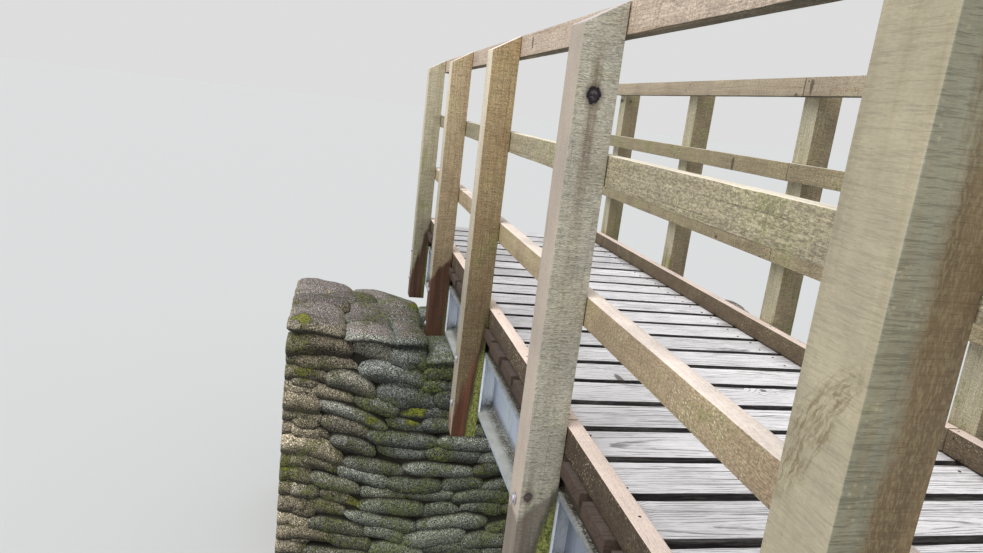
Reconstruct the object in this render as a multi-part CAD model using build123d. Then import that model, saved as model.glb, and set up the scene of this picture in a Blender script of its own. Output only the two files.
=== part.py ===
from build123d import *
import os

# Wooden footbridge on two steel joists, carried by two bagwork abutments.
# X runs across the bridge, +Y runs along it away from the near bank, +Z is up.
# The origin is on the ground, in the middle of the bridge.

# Posts, set against the tips of the joist flanges
post_size = 100.0
post_spacing = 1020.0
bays = 6
post_above_deck = 1080.0
post_below_deck = 460.0
post_top_fall = 58.0
width_between_posts = 1210.0

# Rails and kerbs, all of one section, on the inner faces of the posts
rail_depth = 75.0
rail_thickness = 45.0
rail_spacing = 335.0
rail_bays_per_length = 2
kerb_bays_per_length = 3
joint_gap = 3.0

# Deck boards
board_width = 150.0
board_gap = 27.0
board_thickness = 40.0
board_count = 37
board_overhang = 20.0
board_notch_gap = 2.0
deck_shift = 24.0

# Timber bearers bolted down on the joists
bearer_width = 116.0
bearer_height = 65.0

# Steel joists
joist_depth = 260.0
joist_width = 147.0
joist_flange = 12.7
joist_web = 7.2
joist_root = 8.0
joist_end_past_post = 230.0

# Angle cleats between each post and its joist
cleat_thickness = 8.0
cleat_width = 80.0
cleat_root = 6.0
cleat_inset = 5.0
cleat_snipe_gap = 3.0

# Bagwork abutments
bays_between_abutments = 4
abutment_face_before_post = 350.0
abutment_width = 2800.0
abutment_thickness = 900.0
course_height = 79.0
course_count_below_seat = 15
course_count_above_seat = 2
bag_bulge = 24.0
seat_margin = 20.0
pocket_gap = 10.0

# Levels and places that follow from the sizes above
seat_level = course_height * course_count_below_seat
joist_top = seat_level + joist_depth
bearer_top = joist_top + bearer_height
deck_level = bearer_top + board_thickness
post_top = deck_level + post_above_deck
post_bottom = deck_level - post_below_deck
post_face = width_between_posts / 2
rail_face = post_face - rail_thickness
joist_centre = post_face - joist_width / 2
post_places = [post_spacing * (n - bays / 2) for n in range(bays + 1)]
joist_length = bays * post_spacing + 2 * joist_end_past_post
clear_span = bays_between_abutments * post_spacing - 2 * abutment_face_before_post
board_spacing = board_width + board_gap
sides = {"left": -1, "right": 1}
banks = {"near": -1, "far": 1}


def block(x0, x1, y0, y1, z0, z1):
    """A squared piece between two corners, given in any order."""
    size = (abs(x1 - x0), abs(y1 - y0), abs(z1 - z0))
    middle = ((x0 + x1) / 2, (y0 + y1) / 2, (z0 + z1) / 2)
    return Pos(*middle) * Box(*size)


def post(side, place):
    """A square post whose top is weathered down towards the outside."""
    inner = side * post_face
    outer = side * (post_face + post_size)
    outline = Polyline(
        (inner, post_bottom),
        (outer, post_bottom),
        (outer, post_top - post_top_fall),
        (inner, post_top),
        close=True,
    )
    section = Plane.XZ * make_face(outline)
    return Pos(0, place, 0) * extrude(section, post_size / 2, both=True)


def spliced_rail(side, top, bays_per_length):
    """One line of rail on the posts, in lengths that meet on the post centres."""
    first = post_places[0] - post_size / 2
    last = post_places[-1] + post_size / 2
    joints = post_places[bays_per_length:-1:bays_per_length]
    starts = [first] + [y + joint_gap / 2 for y in joints]
    ends = [y - joint_gap / 2 for y in joints] + [last]
    bottom = top - rail_depth
    return [
        block(side * rail_face, side * post_face, start, end, bottom, top)
        for start, end in zip(starts, ends)
    ]


def deck_board(place):
    """One board, cut back where it meets a post."""
    reach = post_face + board_overhang
    board = block(-reach, reach, place - board_width / 2, place + board_width / 2, bearer_top, deck_level)
    half_notch = post_size / 2 + board_notch_gap
    for y in post_places:
        if abs(y - place) < half_notch + board_width / 2:
            for side in sides.values():
                inner = side * (post_face - board_notch_gap)
                outer = side * (reach + board_overhang)
                board -= block(inner, outer, y - half_notch, y + half_notch, bearer_top, deck_level)
    return board


def deck_boards():
    """All boards, evenly spaced from end to end."""
    first = deck_shift - board_spacing * (board_count - 1) / 2
    return [(first + board_spacing * n, deck_board(first + board_spacing * n)) for n in range(board_count)]


def bearer(side):
    """The timber on top of a joist that the boards are nailed to."""
    inner = side * (joist_centre - bearer_width / 2)
    outer = side * (joist_centre + bearer_width / 2)
    return block(inner, outer, -joist_length / 2, joist_length / 2, joist_top, bearer_top)


def joist(side):
    """A rolled steel joist with filleted roots."""
    web_height = joist_depth - 2 * joist_flange
    flange_rise = (joist_depth - joist_flange) / 2
    section = Rectangle(joist_web, web_height)
    section += Pos(0, flange_rise) * Rectangle(joist_width, joist_flange)
    section += Pos(0, -flange_rise) * Rectangle(joist_width, joist_flange)
    roots = [
        v for v in section.vertices()
        if abs(abs(v.X) - joist_web / 2) < 0.01 and abs(abs(v.Y) - web_height / 2) < 0.01
    ]
    section = fillet(roots, joist_root)
    beam = extrude(Plane.XZ * section, joist_length / 2, both=True)
    return Pos(side * joist_centre, 0, seat_level + joist_depth / 2) * beam


def cleat(side, place):
    """An angle standing between the flanges, one leg on the post and one on the web."""
    web_face = joist_centre + joist_web / 2
    near_edge = place - post_size / 2 + cleat_inset
    far_edge = near_edge + cleat_width
    reach = post_face - web_face
    leg_on_post = Pos(post_face - cleat_thickness / 2, (near_edge + far_edge) / 2)
    leg_on_web = Pos(post_face - reach / 2, far_edge - cleat_thickness / 2)
    section = leg_on_post * Rectangle(cleat_thickness, cleat_width)
    section += leg_on_web * Rectangle(reach, cleat_thickness)
    root = [
        v for v in section.vertices()
        if abs(v.X - (post_face - cleat_thickness)) < 0.01 and abs(v.Y - (far_edge - cleat_thickness)) < 0.01
    ]
    section = fillet(root, cleat_root)
    height = joist_depth - 2 * joist_flange
    angle = extrude(section, height)
    snipes = [
        e for e in angle.edges().filter_by(Axis.Y)
        if abs(e.center().X - web_face) < 0.01
    ]
    angle = chamfer(snipes, joist_root + cleat_snipe_gap)
    angle = Pos(0, 0, seat_level + joist_flange) * angle
    return angle if side > 0 else mirror(angle, about=Plane.YZ)


def bulging_courses(width, course_count):
    """The outline of a stack of bags, each course bulging at both ends."""
    half = width / 2 - bag_bulge
    lines = []
    for n in range(course_count):
        low = n * course_height
        middle = low + course_height / 2
        high = low + course_height
        lines.append(ThreePointArc((half, low), (half + bag_bulge, middle), (half, high)))
        lines.append(ThreePointArc((-half, low), (-half - bag_bulge, middle), (-half, high)))
    top = course_count * course_height
    lines.append(Line((-half, 0), (half, 0)))
    lines.append(Line((-half, top), (half, top)))
    return make_face(lines)


def abutment(bank):
    """A bagwork wall with a low seat for the joists between two raised shoulders."""
    course_count = course_count_below_seat + course_count_above_seat
    wall_top = course_height * course_count
    middle = bank * (clear_span + abutment_thickness) / 2
    long_section = Plane.YZ * bulging_courses(abutment_thickness, course_count)
    cross_section = Plane.XZ * bulging_courses(abutment_width, course_count)
    wall = extrude(long_section, abutment_width / 2, both=True)
    wall &= extrude(cross_section, abutment_thickness / 2, both=True)
    wall = Pos(0, middle, 0) * wall
    seat_reach = post_face + post_size + seat_margin
    past = abutment_thickness
    wall -= block(-seat_reach, seat_reach, middle - past, middle + past, seat_level, wall_top)
    for place in post_places:
        if abs(place - middle) < (abutment_thickness + post_size) / 2:
            for side in sides.values():
                wall -= post_pocket(side, place)
    return wall


def post_pocket(side, place):
    """The hole left in the bagwork around the foot of a post."""
    inner = side * (post_face - pocket_gap)
    outer = side * (post_face + post_size + pocket_gap)
    half = post_size / 2 + pocket_gap
    return block(inner, outer, place - half, place + half, post_bottom - pocket_gap, seat_level + pocket_gap)


def write(name, solids):
    """Write the solids of one piece to its own file."""
    export_step(Compound(children=solids), f"parts/{name}.step")


os.makedirs("parts", exist_ok=True)

for bank_name, bank in banks.items():
    write(f"abutment_{bank_name}", [abutment(bank)])

boards = deck_boards()
for bay in range(bays):
    start = -joist_length if bay == 0 else post_places[bay]
    end = joist_length if bay == bays - 1 else post_places[bay + 1]
    write(f"deck_bay_{bay + 1}", [board for place, board in boards if start <= place < end])

for side_name, side in sides.items():
    write(f"joist_{side_name}", [joist(side)])
    write(f"bearer_{side_name}", [bearer(side)])
    write(f"post_cleats_{side_name}", [cleat(side, place) for place in post_places])
    write(f"kerb_{side_name}", spliced_rail(side, deck_level + rail_depth, kerb_bays_per_length))
    for level, rail_name in enumerate(("low", "mid", "top"), start=1):
        top = deck_level + rail_depth + rail_spacing * level
        write(f"{rail_name}_rail_{side_name}", spliced_rail(side, top, rail_bays_per_length))
    for n, place in enumerate(post_places, start=1):
        write(f"post_{side_name}_{n}", [post(side, place)])
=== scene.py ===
"""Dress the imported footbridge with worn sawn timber, zinc-coated steel and walls of bagged concrete."""
import logging
import math
import random
from contextlib import contextmanager
from dataclasses import dataclass, field, replace
from enum import Enum
from functools import reduce
from typing import Callable, Iterable, Iterator

import bmesh
import bpy
from mathutils import Euler, Matrix, Vector
from mathutils import noise as soft_noise


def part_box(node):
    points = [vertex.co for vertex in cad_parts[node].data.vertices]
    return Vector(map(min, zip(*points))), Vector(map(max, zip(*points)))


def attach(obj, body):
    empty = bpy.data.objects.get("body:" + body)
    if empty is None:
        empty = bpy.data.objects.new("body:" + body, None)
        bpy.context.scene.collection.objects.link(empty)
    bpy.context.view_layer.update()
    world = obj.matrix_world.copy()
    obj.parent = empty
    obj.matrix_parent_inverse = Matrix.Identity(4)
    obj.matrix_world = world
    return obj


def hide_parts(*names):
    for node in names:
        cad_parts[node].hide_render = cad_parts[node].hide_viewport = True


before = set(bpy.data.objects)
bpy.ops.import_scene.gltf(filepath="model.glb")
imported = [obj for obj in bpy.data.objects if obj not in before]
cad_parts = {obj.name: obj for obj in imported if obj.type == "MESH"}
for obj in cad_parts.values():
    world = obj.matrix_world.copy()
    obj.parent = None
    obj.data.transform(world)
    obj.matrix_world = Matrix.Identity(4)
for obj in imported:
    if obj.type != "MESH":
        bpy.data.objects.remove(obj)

log = logging.getLogger("footbridge")
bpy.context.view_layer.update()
ROOT = "root"
TIMBER_SEED = 27
WALL_SEED = 1407

# Sizes of the CAD part that more than one piece or finish goes by, in metres
POST_FACE = 0.605
DECK_LEVEL = 1.55
BOARD_WIDTH = 0.150
BOARD_SPACING = 0.177

Colour = tuple[float, float, float]
Socket = bpy.types.NodeSocket
Thing = bpy.types.Object


class Axis(Enum):
    """A direction of the bridge's frame."""

    ACROSS = 0
    ALONG = 1
    UP = 2

    @property
    def unit(self) -> Vector:
        """The unit vector of this axis."""
        return Vector([1.0 if n == self.value else 0.0 for n in range(3)])


class Side(Enum):
    """A side of the bridge, with its sign on X."""

    LEFT = -1
    RIGHT = 1

    @property
    def word(self) -> str:
        """The side's word in the names of nodes and pieces."""
        return self.name.lower()


class Part(Enum):
    """What is picked in edit mode."""

    VERT = "verts"
    EDGE = "edges"
    FACE = "faces"


# Modelling helpers


def nodes_with(start: str, end: str = "") -> list[str]:
    """Give the names of the CAD nodes that start and end so, in order."""
    return sorted(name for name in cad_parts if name.startswith(start) and name.endswith(end))


def pick_only(objects: list[Thing]) -> None:
    """Select these objects alone and make the first one active.

    Args:
        objects: The objects that the next operator works on.
    """
    bpy.ops.object.select_all(action="DESELECT")
    for obj in objects:
        obj.select_set(True)
    bpy.context.view_layer.objects.active = objects[0]


@contextmanager
def editing(obj: Thing) -> Iterator[None]:
    """Open one object's mesh in edit mode, and close it afterwards.

    Args:
        obj: The mesh object to work on.

    Yields:
        Nothing; operators act on the object meanwhile.
    """
    pick_only([obj])
    bpy.ops.object.mode_set(mode="EDIT")
    yield
    bpy.ops.object.mode_set(mode="OBJECT")


def choose(obj: Thing, part: Part, test: Callable[[object], bool]) -> int:
    """Select in edit mode the parts of a mesh that pass a test.

    Args:
        obj: The object in edit mode.
        part: Whether vertices, edges or faces are looked at.
        test: Says yes or no to one of them.

    Returns:
        How many are selected.
    """
    bpy.ops.mesh.select_mode(type=part.name)
    bpy.ops.mesh.select_all(action="DESELECT")
    mesh = bmesh.from_edit_mesh(obj.data)
    chosen = [item for item in getattr(mesh, part.value) if test(item)]
    for item in chosen:
        item.select_set(True)
    bmesh.update_edit_mesh(obj.data)
    return len(chosen)


def press_flat(obj: Thing, axis: Axis, level: float, above: bool,
               where: Callable[[Vector], bool] = lambda spot: True) -> None:
    """Press the vertices beyond a level onto it.

    Args:
        obj: The object in edit mode.
        axis: The axis that the level is measured on.
        level: The level in metres.
        above: Whether what is above is pressed down, or else what is below is pressed up.
        where: Says which vertices may be pressed.
    """
    n = axis.value
    choose(obj, Part.VERT, lambda v: (v.co[n] > level if above else v.co[n] < level) and where(v.co))
    flat = Vector((1.0, 1.0, 1.0)) - axis.unit
    bpy.ops.transform.resize(value=flat, center_override=axis.unit * level)


def cut_lengthwise(obj: Thing, axis: Axis, cuts: int, shortest: float) -> None:
    """Divide the edges that run along an axis.

    Args:
        obj: The object in edit mode.
        axis: The direction of the edges.
        cuts: How many cuts each edge gets.
        shortest: Edges under this length in metres stay whole.
    """
    unit = axis.unit

    def runs_along(edge: bmesh.types.BMEdge) -> bool:
        """Tell whether an edge follows the axis and is long enough."""
        step = edge.verts[1].co - edge.verts[0].co
        return step.length > shortest and abs(step.dot(unit)) > 0.97 * step.length

    if choose(obj, Part.EDGE, runs_along):
        bpy.ops.mesh.subdivide(number_cuts=cuts)


def slice_through(axis: Axis, places: Iterable[float]) -> None:
    """Cut the whole mesh in edit mode with planes square to an axis.

    Args:
        axis: The normal of the planes.
        places: Where the planes stand, in metres.
    """
    for place in places:
        bpy.ops.mesh.select_all(action="SELECT")
        bpy.ops.mesh.bisect(plane_co=axis.unit * place, plane_no=axis.unit)


@dataclass(frozen=True)
class Wave:
    """Soft noise that pushes a surface inwards."""

    name: str
    size: float
    depth: float
    grain: Axis | None = None
    stretch: float = 1.0

    def shape(self, obj: Thing) -> None:
        """Displace an object and apply the displacement.

        Args:
            obj: The object to shape.
        """
        noise = bpy.data.textures.get(self.name) or bpy.data.textures.new(self.name, "CLOUDS")
        noise.noise_scale = self.size
        noise.noise_depth = 2
        ruler = bpy.data.objects.new(self.name, None)
        bpy.context.collection.objects.link(ruler)
        if self.grain:
            ruler.scale[self.grain.value] = self.stretch
        bpy.context.view_layer.update()
        pick_only([obj])
        push = obj.modifiers.new(self.name, "DISPLACE")
        push.texture = noise
        push.texture_coords = "OBJECT"
        push.texture_coords_object = ruler
        push.strength = self.depth
        push.mid_level = 1.0
        bpy.ops.object.modifier_apply(modifier=self.name)
        bpy.data.objects.remove(ruler)


def settle(obj: Thing, angle: float = 35.0) -> None:
    """Smooth the shading up to an angle and bring the place into the mesh.

    Args:
        obj: The finished object.
        angle: Edges sharper than this, in degrees, stay crisp.
    """
    pick_only([obj])
    bpy.ops.object.transform_apply(location=True, rotation=True, scale=True)
    bpy.ops.object.shade_smooth_by_angle(angle=math.radians(angle))


def primitive(add: Callable, name: str, **settings: object) -> Thing:
    """Add a primitive and bring its place into its mesh.

    Args:
        add: The operator that adds it.
        name: The object's name.
        settings: What the operator is given.

    Returns:
        The new object.
    """
    add(**settings)
    obj = bpy.context.object
    obj.name = name
    bpy.ops.object.transform_apply(location=True, rotation=True, scale=True)
    return obj


def own_copy(obj: Thing, place: Matrix) -> Thing:
    """Copy an object with a mesh of its own.

    Args:
        obj: The pattern.
        place: The copy's world matrix.

    Returns:
        The copy, linked into the scene.
    """
    copy = obj.copy()
    copy.data = obj.data.copy()
    bpy.context.collection.objects.link(copy)
    copy.matrix_world = place
    return copy


def join(name: str, objects: list[Thing]) -> Thing:
    """Join objects into one.

    Args:
        name: The joined object's name.
        objects: What is joined.

    Returns:
        The joined object.
    """
    pick_only(objects)
    bpy.ops.object.join()
    piece = bpy.context.view_layer.objects.active
    piece.name = piece.data.name = name
    return piece


def mark(mesh: bpy.types.Mesh, name: str, values: list[float], kind: str = "FLOAT") -> None:
    """Write one attribute of a mesh's points.

    Args:
        mesh: The mesh.
        name: The attribute's name.
        values: A number for each point, or three where the kind is FLOAT_VECTOR.
        kind: The kind of attribute.
    """
    layer = mesh.attributes.get(name) or mesh.attributes.new(name, kind, "POINT")
    layer.data.foreach_set("value" if kind == "FLOAT" else "vector", values)


def dress(piece: Thing, finish: bpy.types.Material, node: str = "") -> Thing:
    """Give a finished piece its material, its body and the node that it stands for.

    Args:
        piece: The finished piece.
        finish: Its material.
        node: The CAD node that it replaces, or nothing.

    Returns:
        The same piece.
    """
    piece.data.materials.clear()
    piece.data.materials.append(finish)
    if node:
        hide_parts(node)
    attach(piece, ROOT)
    return piece


def islands(mesh: bpy.types.Mesh) -> list[list[int]]:
    """Find the separate sticks of a mesh.

    Args:
        mesh: The mesh to look through.

    Returns:
        The vertex numbers of each separate part.
    """
    leader = list(range(len(mesh.vertices)))

    def find(n: int) -> int:
        """Follow a vertex to the first of its part.

        Args:
            n: The vertex's number.

        Returns:
            The number of the first vertex.
        """
        while leader[n] != n:
            leader[n] = leader[leader[n]]
            n = leader[n]
        return n

    for edge in mesh.edges:
        a, b = find(edge.vertices[0]), find(edge.vertices[1])
        leader[max(a, b)] = min(a, b)
    groups: dict[int, list[int]] = {}
    for n in range(len(leader)):
        groups.setdefault(find(n), []).append(n)
    return list(groups.values())


def share(value: float) -> float:
    """Keep a number between 0 and 1."""
    return min(1.0, max(0.0, value))


def stray(rng: random.Random, most: float) -> float:
    """Draw a shift of up to so much to either side."""
    return rng.uniform(-most, most)


# Shader graphs


def rgba(value: object) -> object:
    """Give a plain colour its fourth number, and leave a socket as it is."""
    return (*value, 1.0) if isinstance(value, tuple) and len(value) == 3 else value


def shaded(colour: Colour, amount: float) -> Colour:
    """Lighten or darken a plain colour."""
    return tuple(amount * part for part in colour)


class Graph:
    """A node tree with short ways to add and join its nodes."""

    def __init__(self, tree: bpy.types.NodeTree) -> None:
        """Keep the tree that the nodes go into."""
        self.tree = tree

    def node(self, kind: str, inputs: dict, **settings: object) -> bpy.types.Node:
        """Add one shader node.

        Args:
            kind: The node's class name after ShaderNode.
            inputs: Input names or numbers, each with a socket or a value.
            settings: The node's own properties.

        Returns:
            The new node.
        """
        node = self.tree.nodes.new("ShaderNode" + kind)
        for key, value in settings.items():
            setattr(node, key, value)
        for key, value in inputs.items():
            if isinstance(value, Socket):
                self.tree.links.new(value, node.inputs[key])
            else:
                node.inputs[key].default_value = value
        return node

    def math(self, operation: str, *values: object) -> Socket:
        """Work out one number from up to three."""
        return self.node("Math", dict(enumerate(values)), operation=operation).outputs[0]

    def add(self, *values: object) -> Socket:
        """Add numbers up."""
        return reduce(lambda a, b: self.math("ADD", a, b), values)

    def mul(self, *values: object) -> Socket:
        """Multiply numbers with each other."""
        return reduce(lambda a, b: self.math("MULTIPLY", a, b), values)

    def sub(self, a: object, b: object) -> Socket:
        """Take one number from another."""
        return self.math("SUBTRACT", a, b)

    def div(self, a: object, b: object) -> Socket:
        """Divide one number by another."""
        return self.math("DIVIDE", a, b)

    def size(self, value: object) -> Socket:
        """Drop a number's sign."""
        return self.math("ABSOLUTE", value)

    def sway(self, noise: object, amount: float) -> Socket:
        """Turn noise from 0 to 1 into a shift to either side."""
        return self.mul(self.sub(noise, 0.5), amount)

    def split(self, vector: object) -> list[Socket]:
        """Take a vector apart into three numbers."""
        return list(self.node("SeparateXYZ", {0: vector}).outputs)

    def merge(self, x: object, y: object, z: object) -> Socket:
        """Put three numbers together into a vector."""
        return self.node("CombineXYZ", {0: x, 1: y, 2: z}).outputs[0]

    def noise(self, vector: object, scale: float, detail: float = 3.0, rough: float = 0.55) -> Socket:
        """Give soft noise from 0 to 1."""
        inputs = {"Vector": vector, "Scale": scale, "Detail": detail, "Roughness": rough}
        return self.node("TexNoise", inputs).outputs[0]

    def grain(self, vector: object, scale: object, detail: float = 3.0, rough: float = 0.55) -> Socket:
        """Give soft noise with a scale of its own on each axis."""
        drawn = self.node("VectorMath", {0: vector, 1: scale}, operation="MULTIPLY").outputs[0]
        return self.noise(drawn, 1.0, detail, rough)

    def step(self, value: object, low: float, high: float, to_low: float = 0.0,
             to_high: float = 1.0) -> Socket:
        """Run smoothly from one value to another between two limits."""
        inputs = {0: value, 1: low, 2: high, 3: to_low, 4: to_high}
        return self.node("MapRange", inputs, interpolation_type="SMOOTHSTEP").outputs[0]

    def mix(self, factor: object, a: object, b: object, blend: str = "MIX") -> Socket:
        """Mix two colours."""
        inputs = {0: factor, 6: rgba(a), 7: rgba(b)}
        return self.node("Mix", inputs, data_type="RGBA", blend_type=blend, clamp_factor=True).outputs[2]

    def tint(self, colour: object, shade: object) -> Socket:
        """Multiply a colour by a number."""
        return self.mix(1.0, colour, self.merge(shade, shade, shade), "MULTIPLY")

    def attribute(self, name: str, output: str = "Fac") -> Socket:
        """Read an attribute of the mesh's points."""
        return self.node("Attribute", {}, attribute_name=name).outputs[output]


@dataclass(frozen=True)
class Effect:
    """A shader node group that several materials share, with numbers as its outputs."""

    name: str
    vectors: tuple[str, ...]
    numbers: tuple[str, ...]
    outputs: tuple[str, ...]
    fill: Callable[[Graph, dict[str, Socket]], tuple[Socket, ...]]

    def tree(self) -> bpy.types.NodeTree:
        """Build the group the first time and find it afterwards.

        Returns:
            The group's node tree.
        """
        found = bpy.data.node_groups.get(self.name)
        if found:
            return found
        tree = bpy.data.node_groups.new(self.name, "ShaderNodeTree")
        for way, kind, names in (("INPUT", "Vector", self.vectors), ("INPUT", "Float", self.numbers),
                                 ("OUTPUT", "Float", self.outputs)):
            for name in names:
                tree.interface.new_socket(name=name, in_out=way, socket_type="NodeSocket" + kind)
        given = tree.nodes.new("NodeGroupInput").outputs
        taken = tree.nodes.new("NodeGroupOutput").inputs
        made = self.fill(Graph(tree), {name: given[name] for name in self.vectors + self.numbers})
        for name, socket in zip(self.outputs, made, strict=True):
            tree.links.new(socket, taken[name])
        return tree

    def place(self, graph: Graph, **values: object) -> dict[str, Socket]:
        """Put the group into a material.

        Args:
            graph: The material's graph.
            values: A socket or value for each input, by name.

        Returns:
            The group's outputs by name.
        """
        node = graph.node("Group", values, node_tree=self.tree())
        return {name: node.outputs[name] for name in self.outputs}


def fill_figure(g: Graph, given: dict[str, Socket]) -> tuple[Socket, ...]:
    """Draw growth rings round a pith, knots, fibres, streaks, saw marks and drying checks.

    Args:
        g: The group's graph.
        given: The group's inputs.

    Returns:
        The group's outputs, in the order that the effect names them.
    """
    timber = given["Timber"]
    along, side, depth = g.split(timber)
    reach = g.math("SQRT", g.add(g.mul(side, side), g.mul(depth, depth)))
    around = g.mul(g.math("ARCTAN2", depth, side), 0.18)
    cells = g.node("TexVoronoi", {"Vector": g.merge(g.mul(along, 2.6), around, 0.0), "Scale": 1.0},
                   voronoi_dimensions="2D").outputs
    alive = g.step(g.split(cells["Color"])[0], 0.55, 0.57)
    knots = g.mul(g.step(cells["Distance"], 0.036, 0.024), alive)
    swirl = g.mul(g.step(cells["Distance"], 0.20, 0.0), alive)
    bend = g.grain(timber, (1.1, 6.0, 6.0), 2.0)
    ripple = g.grain(timber, (9.0, 22.0, 22.0), 2.0)
    radius = g.add(reach, g.mul(bend, 0.055), g.mul(ripple, 0.006), g.mul(swirl, 0.02))
    turn = g.math("FRACT", g.div(radius, given["Ring"]))
    rings = g.mul(g.math("POWER", turn, 2.2), g.step(turn, 0.93, 1.0, 1.0, 0.0))
    broken = g.grain(timber, (8.0, 70.0, 70.0), 3.0, 0.6)
    grooves = g.mul(g.step(turn, 0.62, 0.84), g.step(turn, 1.0, 0.93), g.step(broken, 0.40, 0.55))
    nap = g.grain(timber, given["Pile"], 4.0, 0.8)
    fibres = g.grain(timber, (7.0, 170.0, 170.0), 3.0, 0.6)
    streaks = g.grain(timber, (1.7, 34.0, 34.0), 3.0, 0.6)
    wander = g.grain(timber, (3.0, 8.0, 8.0), 2.0)
    blade = g.merge(g.add(g.mul(along, 280.0), g.mul(wander, 2.0)), g.mul(side, 20.0), g.mul(depth, 20.0))
    saw_marks = g.noise(blade, 1.0, 4.0, 0.7)
    row = g.add(g.div(g.add(side, depth), given["Pitch"]), g.mul(bend, 1.6))
    draw = g.node("TexWhiteNoise", {"W": g.math("FLOOR", row)}, noise_dimensions="1D").outputs["Color"]
    chance = g.split(draw)
    spot = g.math("FRACT", g.add(g.mul(along, 1.6), g.mul(chance[0], 7.0)))
    length = g.add(g.mul(chance[1], 0.34), 0.08)
    taper = g.math("MAXIMUM", g.sub(1.0, g.div(g.size(g.sub(spot, 0.5)), length)), 0.0)
    gape = g.mul(g.math("POWER", taper, 0.5), g.step(chance[2], 0.30, 1.0, 0.0, 0.0016))
    middle = g.add(g.mul(chance[1], 0.6), 0.2)
    off = g.mul(g.size(g.sub(g.math("FRACT", row), middle)), given["Pitch"])
    checks = g.step(g.sub(off, gape), 0.0002, -0.0006)
    return rings, grooves, nap, fibres, streaks, saw_marks, checks, knots


FIGURE = Effect("timber_figure", ("Timber", "Pile"), ("Ring", "Pitch"),
                ("Rings", "Grooves", "Nap", "Fibres", "Streaks", "Saw marks", "Checks", "Knots"), fill_figure)


def fill_sides(g: Graph, given: dict[str, Socket]) -> tuple[Socket, ...]:
    """Tell which way a surface of the bridge faces.

    Args:
        g: The group's graph.
        given: The group's inputs.

    Returns:
        The group's outputs, in the order that the effect names them.
    """
    x, y, z = g.split(given["Normal"])
    outwards = g.mul(x, g.math("SIGN", g.split(given["Place"])[0]))
    return (g.step(outwards, 0.5, 0.85), g.step(g.size(y), 0.5, 0.85), g.step(z, 0.35, 0.75),
            g.step(z, -0.4, -0.8))


SIDES = Effect("facing_sides", ("Normal", "Place"), (), ("Outer", "Ends", "Top", "Under"), fill_sides)


def fill_patches(g: Graph, given: dict[str, Socket]) -> tuple[Socket, ...]:
    """Spread moss cushions, fine lichen dots and dirt by noise.

    Args:
        g: The group's graph.
        given: The group's inputs.

    Returns:
        The group's outputs, in the order that the effect names them.
    """
    place, cover = given["Place"], given["Cover"]
    broad = g.noise(place, 5.0, 4.0)
    fine = g.noise(place, 48.0, 4.0, 0.7)
    grit = g.noise(place, 135.0, 4.0, 0.8)
    edge = g.add(broad, g.sway(fine, 0.6), g.sway(grit, 0.5))
    moss = g.node("MapRange", {0: edge, 1: g.sub(0.90, cover), 2: g.sub(1.08, cover)}).outputs[0]
    dots = g.node("TexVoronoi", {"Vector": place, "Scale": 140.0}).outputs["Distance"]
    rare = g.step(g.noise(place, 14.0), 0.44, 0.62)
    return moss, g.mul(g.step(dots, 0.36, 0.20), rare), grit, broad


PATCHES = Effect("moss_and_lichen", ("Place",), ("Cover",),
                 ("Moss", "Lichen", "Speckle", "Blotch"), fill_patches)


class Surface(Graph):
    """A material's graph with its Principled shader, and each spot's place, normal and sides."""

    def __init__(self, name: str, roughness: float, metallic: float = 0.0) -> None:
        """Start the material.

        Args:
            name: The material's name.
            roughness: The plain roughness.
            metallic: The plain metallic value.
        """
        self.made = bpy.data.materials.new(name)
        self.made.use_nodes = True
        super().__init__(self.made.node_tree)
        self.shader = self.tree.nodes["Principled BSDF"]
        for key, value in (("Roughness", roughness), ("Metallic", metallic), ("Specular IOR Level", 0.3)):
            self.shader.inputs[key].default_value = value
        self.place = self.node("TexCoord", {}).outputs["Object"]
        self.normal = self.node("NewGeometry", {}).outputs["Normal"]

    def sides(self) -> dict[str, Socket]:
        """Tell which way each spot faces."""
        return SIDES.place(self, Normal=self.normal, Place=self.place)

    def patches(self, cover: float) -> dict[str, Socket]:
        """Spread moss, lichen and dirt, the moss over about this share."""
        return PATCHES.place(self, Place=self.place, Cover=cover)

    def finished(self, colour: Socket, height: Socket, depth: float) -> bpy.types.Material:
        """Feed the colour and the relief to the shader.

        Args:
            colour: The colour socket.
            height: The relief socket, from 0 to about 1.
            depth: The relief's real depth in metres.

        Returns:
            The finished material.
        """
        bump = self.node("Bump", {"Strength": 1.0, "Distance": depth, "Height": height})
        self.tree.links.new(colour, self.shader.inputs["Base Color"])
        self.tree.links.new(bump.outputs[0], self.shader.inputs["Normal"])
        return self.made


class TimberSurface(Surface):
    """A timber's graph, with the figure, the side and the growth at each spot."""

    def __init__(self, finish: "SawnTimber") -> None:
        """Start the material.

        Args:
            finish: The finish that the material is made for.
        """
        super().__init__(finish.name, 0.85)
        along, across = finish.nap
        self.figure = FIGURE.place(self, Timber=self.attribute("timber", "Vector"), Ring=finish.ring_pitch,
                                   Pitch=finish.check_pitch, Pile=(along, across, across))
        self.side = self.sides()
        self.patch = self.patches(finish.algae)


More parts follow.
